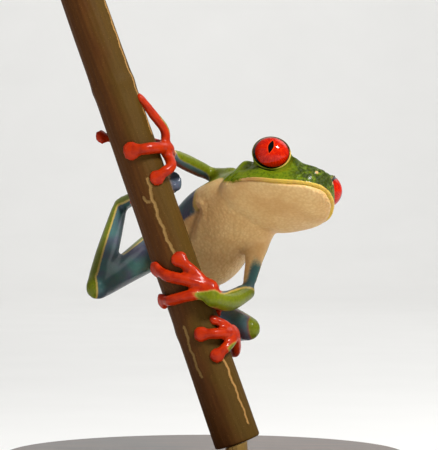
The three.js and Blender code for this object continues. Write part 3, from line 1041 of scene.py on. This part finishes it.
def limbMarks(one, share, out, span):
    # green is the distance inside the green strip, negative outside it
    paint = one["paint"]
    green = np.full(len(out), -2.0)
    if "green" in paint:
        direction, edge = paint["green"]
        turned = unit(unit(direction) + vec(0, 0, 1) * paint.get("roll", 0) * (share - 0.5)[:, None])
        green = ((out * turned).sum(1) - edge) * span
        green = np.minimum(green, (paint.get("until", 9) - share) * one["length"] + out @ trunkUp)
    after = paint.get("after", -1)
    blue = comeIn(paint, "blue", out) * ease(share, after, after + 0.4)
    orange = paint.get("orange", 0)
    return {"green": green, "blue": blue, "brown": comeIn(paint, "brown", out), "orange": orange}


def headMarks(points):
    forward, left, up = fromHead(points).T
    ragged = 0.08 * np.sin(forward * 4.1) + 0.04 * np.sin(forward * 9.7 + 1)
    green = up - lipHeight(forward) - 0.1 + (0.5 + ragged) * bell(forward + 5.4, 2.0)
    return {"green": green, "granular": 0.4 * ease(-up, 4.5, 6)}


def trunkMarks(one, share, out, span):
    height = out @ trunkUp
    green = (height - 0.2) * span
    blue = ease(height, -0.5, -0.38) * ease(share, 0.29, 0.35)
    # cream bars slant down the blue flank, which has a cream edge below and in front
    along = share * one["length"] + 1.4 * height
    bar = np.abs((along + marks["barShift"]) % marks["barGap"] - marks["barGap"] / 2)
    bar = np.minimum(bar, np.abs(height + 0.44) * span)
    bar = np.where(share > 0.35, bar, np.abs(share - 0.315) * one["length"])
    bar = np.where((height < 0.25) & (height > -0.5), bar, farOff)
    return {"green": green, "blue": blue, "bar": bar, "granular": ease(-height, 0.2, 0.5)}


def paintBody(points, edges):
    measured = [measure(one, points) for one in strands]
    closest = np.min([gap for gap, *_ in measured], axis=0)
    unmarked = {"blue": 0, "brown": 0, "orange": 0, "granular": 0, "bar": farOff}
    total, sums = np.zeros(len(points)), {}
    for one, (gap, share, out, span) in zip(strands, measured):
        weight = np.exp(-(gap - closest) / marks["soft"])
        if one["name"] == "head":
            values = headMarks(points)
        elif one["name"] == "trunk":
            values = trunkMarks(one, share, out, span)
        else:
            values = limbMarks(one, share, out, span)
        total += weight
        # with edgingFrom the cream edge comes in only where the side faces up, partly as a painted highlight
        edging = one["paint"].get("edging", 0.8) * ease(out[:, 2], *one["paint"].get("edgingFrom", [-3, -2]))
        for key, numbers in {**unmarked, **values, "edging": edging}.items():
            sums[key] = sums.get(key, 0) + weight * numbers
    names = list(sums)
    laid = np.stack([sums[name] / total for name in names], -1)
    for _ in range(2):
        laid = neighbourMean(laid, edges)
    return dict(zip(names, laid.T))


def lidMarks(points):
    # where the lids face forward and down, and the painted shade in the fold under each eye
    front, low, fold = (np.zeros(len(points)) for _ in range(3))
    for side in (1, -1):
        far, beyond, along, away = fromRim(points, side)
        outward = unit(points - eyeCentre(side))
        ahead = ease(outward @ headForward, 0.3, 0.8) * (1 - ease(outward @ headUp, 0.15, 0.5))
        front = np.where(far < 1.3, ahead, front)
        low = np.where(far < 1.3, ease(outward @ -headUp, 0.0, 0.5), low)
        below = ease(outward @ unit(-headUp - 0.6 * headForward), 0.3, 0.75)
        fold = np.maximum(fold, below * bell(away - 0.09, 0.05) * bell(along - 0.15, 0.25))
    return {"lidFront": front, "lidLow": low, "lidFoldShade": fold}


def hollows(points, normals, edges):
    # how hollow the skin is at each point, from -1 on ridges to 1 in creases
    bend = ((neighbourMean(points, edges) - points) * normals).sum(1, keepdims=True)
    for _ in range(3):
        bend = neighbourMean(bend, edges)
    return np.clip(bend / 0.02, -1, 1)


def lipMarks(points, onHead):
    # distance from the lip's cream line, which narrows towards its ends
    forward, aside, up = foldedHead(points).T
    gap = np.abs(up - lipHeight(forward) + 0.14)
    gap = gap + 0.34 * ease(-forward, 0.6, 3.5) + 0.08 * ease(forward, 5, 7.5)
    return np.where(onHead & (forward > -3.5), gap, farOff)


points, normals, edges = readMesh(skinMesh)
folded = foldedHead(points)
forward, aside, up = folded.T
fromHeadMiddle = apart(points, inHead(0, 0, -3))
onHead = fromHeadMiddle < 12
storeValues(
    skinMesh,
    **paintBody(points, edges),
    **lidMarks(points),
    lidRim=onRim,
    lip=lipMarks(points, onHead),
    nostril=fromNose(folded, "nostril"),
    tubercle=fromNose(folded, "tubercle"),
    front=ease(forward, -2, 4),
    olive=ease(fromHeadMiddle, 11, 13),
    snout=ease(forward + 0.6 * up, 2.0, 4.5) * onHead,
    hollow=hollows(points, normals, edges),
)
movePoints(skinMesh, toScene(points))
print("markings laid")

skinColours = {
    "leaf": colour(94, 116, 6),
    "leafDark": colour(58, 78, 5),
    "leafLight": colour(132, 144, 18),
    "olive": colour(104, 104, 10),
    "snout": colour(46, 58, 10),
    "snoutSpot": colour(18, 24, 6),
    "cream": colour(220, 184, 78),
    "edge": colour(196, 166, 84),
    "lip": colour(204, 156, 96),
    "belly": colour(230, 194, 134),
    "bellyWarm": colour(208, 158, 98),
    # painted shade: dark reddish brown for the limbs' shadowed sides
    "brown": colour(120, 50, 22),
    "blue": colour(66, 106, 100),
    "violet": colour(80, 78, 100),
    "orange": colour(176, 42, 0),
    "orangeDeep": colour(142, 22, 0),
    "lidRim": colour(220, 178, 84),
    "lidLow": colour(140, 150, 40),
    # painted shade: the rim's gold, darkened, where the rim faces neither forward nor down
    "lidRimShade": colour(118, 96, 48),
    # painted shade: near black in the fold under each eye
    "lidFoldShade": colour(10, 12, 3),
    "tubercle": colour(204, 160, 104),
    # painted shade: near black inside the nostril's pit
    "nostril": colour(8, 6, 6),
    # painted shade: hollows and creases are multiplied by this, so they come out darker
    "crease": (0.25, 0.12, 0.08, 1),  # what a hollow's colour is multiplied by
}


def skinMaterial():
    shade, paint = Shader("frogSkin"), skinColours
    lay = shade.lay
    green, blue, brown, orange = shade.attributes("green", "blue", "brown", "orange")
    granular, bar, edging, lip, front = shade.attributes("granular", "bar", "edging", "lip", "front")
    lidRim, lidFront, lidLow, lidFoldShade = shade.attributes("lidRim", "lidFront", "lidLow", "lidFoldShade")
    nostril, tubercle, snout = shade.attributes("nostril", "tubercle", "snout")
    olive, hollow = shade.attributes("olive", "hollow")
    wide, middling, fine = shade.noise(5, 3), shade.noise(1.1, 3), shade.noise(0.3, 2)
    speckle, grains = shade.cells(0.42), shade.cells(0.55)
    # each colour of the body, mottled
    belly = lay(paint["belly"], paint["bellyWarm"], wide, 0.35, 0.7, 0.6)
    belly = lay(belly, paint["bellyWarm"], grains, 0.3, 0.7, 0.35)
    blues = lay(paint["blue"], paint["violet"], wide, 0.3, 0.75)
    oranges = lay(paint["orange"], paint["orangeDeep"], middling, 0.4, 0.7, 0.7)
    greens = lay(paint["leaf"], paint["leafDark"], middling, 0.35, 0.75, 0.7)
    greens = lay(greens, paint["leafLight"], wide, 0.5, 0.7, 0.5)
    greens = lay(greens, paint["leafLight"], speckle, 0.35, 0.6, 0.35)
    greens = shade.mix(olive * 0.55, greens, paint["olive"])
    greens = shade.mix(snout * shade.ease(middling, 0.3, 0.55) * 0.85, greens, paint["snout"])
    greens = shade.mix(snout * shade.ease(fine, 0.56, 0.66) * 0.7, greens, paint["snoutSpot"])
    # laid over each other with slightly ragged borders
    wobble = (fine - 0.5) * 0.3
    base = lay(belly, blues, blue + wobble, 0.15, 0.8)
    # painted shade: the brown darkens the limbs where they lie in shadow
    base = lay(base, paint["brown"], brown + wobble, 0.1, 0.9)
    base = lay(base, paint["edge"], bar + wobble, 0.3, 0.14, 0.8)
    base = lay(base, oranges, orange + wobble, 0.4, 0.6)
    base = lay(base, greens, green + wobble, -0.06, 0.06)
    edge = shade.ease((green + wobble * 0.7).size(), 0.24, 0.06) * (orange * -0.7 + 1) * edging
    base = shade.mix(edge * shade.ease(lip, 2.0, 3.0), base, paint["edge"])
    lipTone = shade.mix(front, paint["lip"], paint["cream"])
    lipTone = lay(lipTone, paint["lip"], middling, 0.45, 0.7, 0.4)
    base = lay(base, lipTone, lip + wobble * 0.25, 0.36, 0.26)
    base = lay(base, paint["tubercle"], tubercle, 0.34, 0.22)
    # painted shade inside the nostril's pit
    base = lay(base, paint["nostril"], nostril, 0.25, 0.17)
    # painted shade: near black along the fold under each eye
    base = lay(base, paint["lidFoldShade"], lidFoldShade, 0.2, 0.8, 0.9)
    # painted shade: away from the front and the lower side the rim is a darkened copy of its gold
    rimTone = shade.mix(lidLow, paint["lidRimShade"], paint["lidLow"])
    base = shade.mix(lidRim, base, shade.mix(lidFront, rimTone, paint["lidRim"]))
    # painted shade: darker in the hollows and creases
    base = shade.mix(shade.ease(hollow, 0.15, 1.0) * 0.5, base, paint["crease"], "MULTIPLY")
    # the belly, hollows, nostrils and the head's sides behind are less wet than the rest
    dull = granular * 0.22 + shade.ease(hollow, 0.0, 0.6) * 0.2 + shade.ease(nostril, 0.5, 0.2) * 0.3
    dull = dull + (1 - olive) * (1 - front) * 0.2
    grainHeight = (0.5 - grains) * (granular * 1.1 + snout * 2.4 + 0.25)
    height = grainHeight + fine * 0.2 + middling * granular * 1.2
    return shade.finish(
        Base_Color=base,
        Roughness=shade.ease(fine, 0.0, 1.0) * 0.2 + 0.34,
        Specular_IOR_Level=0.1,
        Subsurface_Weight=0.1,
        Subsurface_Radius=(1.0, 0.35, 0.2),
        Subsurface_Scale=0.5 * mm,
        Coat_Weight=(0.28 - dull - lidFoldShade * 0.25).most(0.02),
        Coat_Roughness=0.08,
        Coat_IOR=1.4,
        Normal=shade.bump(height, 0.12, 0.8),
    )


skinNodes = ["head", "trunk"]
for side in ("right", "left"):
    skinNodes += [f"{name}_{side}" for name in (*segments, "hand", "foot")]
makePiece("frog_skin", skinMesh, skinMaterial(), "skin_green", *skinNodes)

# Eyeballs.
iris = {
    "pupil": [27, 8.5, 7],  # half height, half width and rise, in degrees
    "deep": colour(172, 12, 0),
    "bright": colour(214, 34, 0),
    "fleck": colour(232, 62, 2),
    # partly the iris's own darker edge, partly painted shade that gives the iris depth
    "outer": colour(120, 6, 0),
    # partly the iris's own brighter middle, partly painted light round the pupil for depth
    "pupilRim": colour(238, 62, 4),
    "black": colour(4, 3, 3),
    # painted shade: near black beyond the iris, so the band between iris and lids reads as a shadowed gap
    "gapShade": colour(6, 4, 4),
    "rings": 120,
    "sides": 144,
}


def eyeMaterial():
    shade = Shader("redEye")
    angle, slit, across, tall = shade.attributes("iris", "slit", "across", "tall")
    spread = shade.node("ShaderNodeCombineXYZ", {}, (across, tall, angle * 0.004))
    fibre = shade.node("ShaderNodeTexNoise", {}, {"Vector": spread, "Scale": 14.0, "Detail": 4.0})
    mottle = shade.noise(0.5, 3)
    red = shade.lay(iris["deep"], iris["bright"], fibre, 0.35, 0.65)
    red = shade.lay(red, iris["fleck"], mottle, 0.5, 0.75, 0.4)
    # darker towards the iris's edge: partly its own colour, partly painted shade for depth
    red = shade.lay(red, iris["outer"], angle, 45, 70, 0.6)
    # lighter round the pupil: partly its own colour, partly painted light for depth
    red = shade.lay(red, iris["pupilRim"], slit, 4.0, 1.2, 0.7)
    base = shade.lay(red, iris["black"], slit, 0.5, -0.3)
    # painted shade: the eyeball turns near black past the iris's edge, for the gap under the lids
    base = shade.lay(base, iris["gapShade"], angle, eye["irisEdge"] - 0.8, eye["irisEdge"] + 0.8)
    return shade.finish(
        Base_Color=base,
        Roughness=0.6,
        Specular_IOR_Level=0.0,
        Coat_Weight=0.8,
        Coat_Roughness=0.02,
        Coat_IOR=1.34,
        Normal=shade.bump(fibre, 0.02, 0.2),
    )


def eyeballMesh(side):
    # an ellipsoid whose points know their angle from the iris's middle and distance from the pupil
    grid = ellipsoidGrid(eyeCentre(side), eyeAxes(side), eye["radii"], iris["rings"], iris["sides"])
    vertices, quads, fans = closedGrid(grid)
    mesh = makeMesh(f"eyeball{side}", vertices, quads, fans)
    far, angle, local = inEye(vertices, side, "iris")
    direction = unit(local)
    across = np.degrees(np.arctan2(direction[:, 0], direction[:, 2]))
    tall = np.degrees(np.arctan2(direction[:, 1], direction[:, 2]))
    # the pupil is an upright almond: its half-width falls to a point at each end
    halfTall, halfWide, lift = iris["pupil"]
    rise = np.abs(tall - lift)
    beyond = np.maximum(rise - halfTall, 0)
    room = halfWide * (1 - np.minimum(rise / halfTall, 1) ** 1.6)
    outside = np.abs(across) - room
    slit = np.where(outside < 0, outside, np.hypot(outside, beyond))
    slit = np.where(direction[:, 2] > 0, slit, 90)
    # the fibres run round the iris by their angle about its middle
    spoke = direction - eyeTurn("iris", side)
    turn = np.arctan2(spoke[:, 1], spoke[:, 0])
    storeValues(mesh, iris=angle, slit=slit, across=np.cos(turn), tall=np.sin(turn))
    movePoints(mesh, toScene(vertices))
    return mesh


redEye = eyeMaterial()
makePiece("eyeball_right", eyeballMesh(-1), redEye, "eye", "eye_right")
makePiece("eyeball_left", eyeballMesh(1), redEye, "eye", "eye_left")
print("eyes made")

# The stem's bark.
bark = {
    "brown": colour(74, 40, 9),
    "brownLight": colour(86, 50, 14),
    "brownDark": colour(62, 36, 10),
    "olive": colour(78, 62, 12),
    "dot": colour(140, 100, 46),
    "scar": colour(150, 118, 68),
    "peel": colour(170, 128, 72),
    "wood": colour(190, 158, 104),
    "woodDeep": colour(150, 112, 64),
    "woodRing": colour(120, 84, 46),
    "upright": 0.337,  # the turn in radians that takes away the stem's lean
    "bevel": 0.35,
    "rings": 330,
    "sides": 120,
    "growth": 7,  # of the growth rings, in radians a millimetre
    "knots": [[15.5, 1.1], [-28, 1.2]],  # [t along the stem, width] of the swollen rings
    # healed scratches and a peeling edge, as [t along the stem, turn round it] points
    "scars": [
        [[-1.4, 84], [-4.3, 88], [-7.8, 90], [-11, 88], [-14.1, 85], [-16.7, 76]],
        [[-4.2, 110], [-5.1, 104], [-5.2, 98]],
        [[-27, 120], [-31, 126], [-36, 122]],
        [[24, -60], [19, -66], [12, -58]],
        [[2, -150], [-8, -158], [-14, -150]],
        [[-20, -100], [-29, -108], [-36, -96]],
    ],
    "peels": [
        [[31, 20], [27.9, 22], [18, 25], [11.2, 17], [5.6, 19]],
        [[-33, 54], [-35.4, 51], [-41.8, 47], [-46, 45]],
        [[30, 200], [16, 207], [2, 198]],
    ],
}


def fromBarkLines(lines, t, turn):
    # distance over the bark from the nearest of the lines, in millimetres
    best = np.full(t.shape, np.inf)
    wave = 0.11 * np.sin(t * 1.7) + 0.05 * np.sin(t * 4.3 + 1)
    for line in lines:
        for (t0, turn0), (t1, turn1) in zip(line[:-1], line[1:]):
            alongGap, roundGap = t1 - t0, np.radians(turn1 - turn0) * stemRadius(t0)
            around = np.radians((turn - turn0 + 180) % 360 - 180) * stemRadius(t) + wave
            span = alongGap**2 + roundGap**2
            share = np.clip(((t - t0) * alongGap + around * roundGap) / span, 0, 1)
            best = np.minimum(best, np.hypot(t - t0 - share * alongGap, around - share * roundGap))
    return best


def stemRows():
    # for each ring from foot to top: t along the stem, its share of the radius, and how far the bevel
    # sets it in; the cut faces are rings that shrink to the middle
    bevel, rings = bark["bevel"], bark["rings"]
    faceRings, bevelRings = 11, 4
    bend = np.radians(np.linspace(0, 90, bevelRings + 1)[:-1])
    endT = np.concatenate([np.zeros(faceRings), bevel * (1 - np.cos(bend))])
    endShare = np.concatenate([np.linspace(0.02, 1, faceRings + 1)[:-1], np.ones(bevelRings)])
    endStep = np.concatenate([np.full(faceRings, bevel), bevel * (1 - np.sin(bend))])
    sideT = np.linspace(stemLow + bevel, stemHigh - bevel, rings)
    t = np.concatenate([stemLow + endT, sideT, (stemHigh - endT)[::-1]])
    share = np.concatenate([endShare, np.ones(rings), endShare[::-1]])
    step = np.concatenate([endStep, np.zeros(rings), endStep[::-1]])
    return t[:, None], share[:, None], step[:, None]


def stemMesh():
    # a leaning cylinder whose radius swells and sinks with the angle, the knots and the bark's lines
    t, share, step = stemRows()
    turn = np.linspace(0, 360, bark["sides"], endpoint=False)[None]
    angle = np.radians(turn)
    scar, peel = (fromBarkLines(bark[key], t + 0 * turn, turn + 0 * t) for key in ("scars", "peels"))
    swell = 0.06 * np.sin(angle * 2 + t * 0.05) + 0.03 * np.sin(angle * 9 + t * 0.15)
    swell = swell + 0.02 * np.sin(angle * 23 - t * 0.3)
    for knot, width in bark["knots"]:
        swell = swell + 0.12 * bell(t - knot, width)
    swell = swell - 0.1 * bell(scar, 0.2) + 0.07 * bell(scar - 0.32, 0.14) + 0.14 * bell(peel, 0.22)
    radius = (stemRadius(t) + swell - step) * share
    out = stemRight * np.cos(angle)[..., None] + vec(0, -1, 0) * np.sin(angle)[..., None]
    # growth rings stand out a little on both cut faces
    cut = 0.036 * np.cos(radius * bark["growth"]) * (share < 1) * np.where(t > 0, 1, -1)
    grid = vec(stem["middleX"], 0, 0) + stemUp * (t + cut)[..., None] + out * radius[..., None]
    vertices, quads, fans = closedGrid(grid[:, ::-1])
    mesh = makeMesh("stem", toScene(vertices), quads, fans)

    def spread(values):
        # a grid's values in the vertices' order, with the two poles
        laid = (values + 0 * t + 0 * turn)[:, ::-1]
        return np.concatenate([laid.ravel(), laid[[0, -1], 0]])

    storeValues(mesh, scar=spread(scar), peel=spread(peel), cut=spread(share < 1), ring=spread(radius))
    storeValues(mesh, rightSide=spread(np.cos(angle - math.radians(35))))
    return mesh


def barkMaterial():
    shade = Shader("bark")
    scar, peel, cut, ring, rightSide = shade.attributes("scar", "peel", "cut", "ring", "rightSide")
    turned = {"Vector": shade.place, "Angle": bark["upright"]}
    upright = shade.node("ShaderNodeVectorRotate", {"rotation_type": "Y_AXIS"}, turned)
    fibres = shade.noise(0.5, 4, shade.stretched((1, 1, 0.1), upright))
    blotch, speck, dots = shade.noise(7, 3), shade.noise(0.22, 3), shade.cells(0.5)
    base = shade.lay(bark["brown"], bark["brownLight"], fibres, 0.2, 0.8)
    base = shade.lay(base, bark["olive"], rightSide + (blotch - 0.5) * 1.2, 0.2, 1.0, 0.6)
    base = shade.lay(base, bark["brownDark"], speck, 0.52, 0.7, 0.35)
    base = shade.lay(base, bark["dot"], dots, 0.16, 0.08, 0.35)
    ragged = (speck - 0.5) * 0.35
    base = shade.lay(base, bark["scar"], scar + ragged, 0.34, 0.16, 0.75)
    base = shade.lay(base, bark["peel"], peel + ragged, 0.28, 0.16, 0.85)
    wood = shade.lay(bark["wood"], bark["woodDeep"], shade.noise(0.4, 3), 0.3, 0.7)
    rings = (ring * bark["growth"]).sine()
    wood = shade.lay(wood, bark["woodRing"], rings, 0.2, 0.9, 0.5)
    base = shade.lay(base, wood, cut, 0.3, 0.7)
    height = fibres * 0.5 + speck * 0.4 + shade.ease(dots, 0.2, 0.06) * 0.3
    return shade.finish(
        Base_Color=base,
        Roughness=shade.ease(speck, 0.2, 0.8) * 0.2 + 0.5,
        Specular_IOR_Level=0.12,
        Normal=shade.bump(height, 0.12, 0.6),
    )


makePiece("cut_stem", stemMesh(), barkMaterial(), "stem_bark", "stem")
print("stem made")

# Display stand.
stand = {
    "radius": 36,
    "thick": 6,
    "edge": 1.4,
    "footEdge": 0.7,
    "sides": 160,
    "wood": colour(54, 34, 22),
    "woodLight": colour(88, 56, 34),
    "brass": colour(190, 156, 92),
    "brassDark": colour(160, 124, 66),
}


def woodMaterial():
    shade = Shader("turnedWood")
    grain = shade.noise(1.2, 5, shade.stretched((0.08, 1, 1)))
    base = shade.lay(stand["wood"], stand["woodLight"], grain, 0.35, 0.65)
    return shade.finish(Base_Color=base, Roughness=0.4, Coat_Weight=0.3, Coat_Roughness=0.2)


def brassMaterial():
    shade = Shader("brass")
    tone = shade.mix(shade.noise(3, 2), stand["brass"], stand["brassDark"])
    return shade.finish(Base_Color=tone, Metallic=1.0, Roughness=0.3)


def plinthMesh():
    # a disc with a rounded upper edge: its [radius, height] profile turned about the upright axis
    radius, thick, edge, footEdge = (stand[key] for key in ("radius", "thick", "edge", "footEdge"))
    bend = np.radians(np.linspace(0, 90, 10))
    rim = [[radius - edge + edge * math.cos(a), thick - edge + edge * math.sin(a)] for a in bend]
    profile = [[0.05, 0], [radius - footEdge, 0], [radius, footEdge], *rim, [0.05, thick]]
    turn = np.linspace(0, 2 * np.pi, stand["sides"], endpoint=False)
    out, height = np.array(profile).T[..., None]
    grid = np.stack([out * np.cos(turn), out * np.sin(turn), height + 0 * turn], -1)
    return makeMesh("plinth", *closedGrid(grid * mm))


makePiece("stand_plinth", plinthMesh(), woodMaterial(), "stand_wood", "stand_base")
brass = brassMaterial()
for name in ("stand_post", "stand_brace"):
    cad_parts[name].data.materials.clear()
    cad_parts[name].data.materials.append(brass)
print("stand made")

# Floor, light and camera.
studio = {
    "camera": vec(-13.515, -400, -9.01),  # in the frog's millimetres
    "lens": 188.2,
    "sensor": 36,
    "wallFoot": 0.95,  # where the floor begins to curve up, in metres behind the frog
    "wallCurve": 0.5,
    "floor": colour(240, 239, 236),
    "floorLight": colour(245, 244, 241),
    "room": colour(228, 230, 234),
    "roomLight": 0.28,
    "lights": [  # place in metres, size in metres, watts and, if not at the frog, where it shines
        [vec(0.29, -0.325, 0.52), 0.16, 5],
        [vec(-0.5, -0.4, 0.2), 0.5, 0.4],
        [vec(0.35, 0.35, 0.5), 0.4, 0.8],
        [vec(0, 0.7, 0.9), 0.6, 5, vec(0, 1.45, 0.25)],
    ],
}


def makeFloor():
    # a floor that curves up into a wall behind
    foot, curve, reach = studio["wallFoot"], studio["wallCurve"], 3.0
    bend = np.radians(np.linspace(0, 90, 16))
    depth = np.concatenate([[-reach], foot + curve * np.sin(bend), [foot + curve]])
    height = np.concatenate([[0], curve - curve * np.cos(bend), [reach]])
    edges = [np.stack([0 * depth + width, depth, height], -1) for width in (-reach, reach)]
    index = np.arange(len(depth) - 1)[:, None] * 2
    mesh = makeMesh("floor", np.stack(edges, 1).reshape(-1, 3), index + np.array([[0, 1, 3, 2]]))
    mesh.shade_smooth()
    shade = Shader("paleFloor")
    tone = shade.mix(shade.noise(40, 2), studio["floor"], studio["floorLight"])
    mesh.materials.append(shade.finish(Base_Color=tone, Roughness=0.8))
    floor = addObject("floor", mesh)


def makeLights():
    middle = Vector((cadBox[0] + cadBox[1]) / 2)
    for place, size, watts, *aim in studio["lights"]:
        lamp = bpy.data.lights.new("softLight", "AREA")
        lamp.size, lamp.energy = size, watts
        light = addObject("softLight", lamp)
        light.location = place
        toward = Vector(aim[0]) if aim else middle
        light.rotation_euler = (Vector(place) - toward).to_track_quat("Z", "Y").to_euler()
    world = bpy.data.worlds.new("paleRoom")
    world.use_nodes = True
    backdrop = world.node_tree.nodes["Background"].inputs
    backdrop["Color"].default_value = studio["room"]
    backdrop["Strength"].default_value = studio["roomLight"]
    bpy.context.scene.world = world
    bpy.context.scene.view_settings.view_transform = "Standard"


def makeCamera():
    camera = addObject("camera", bpy.data.cameras.new("camera"))
    camera.data.lens, camera.data.sensor_width = studio["lens"], studio["sensor"]
    camera.location = toScene(studio["camera"])
    camera.rotation_euler = (math.pi / 2, 0, 0)
    camera.data.clip_start = 0.01
    bpy.context.scene.camera = camera


makeFloor()
makeLights()
makeCamera()
print("studio made")
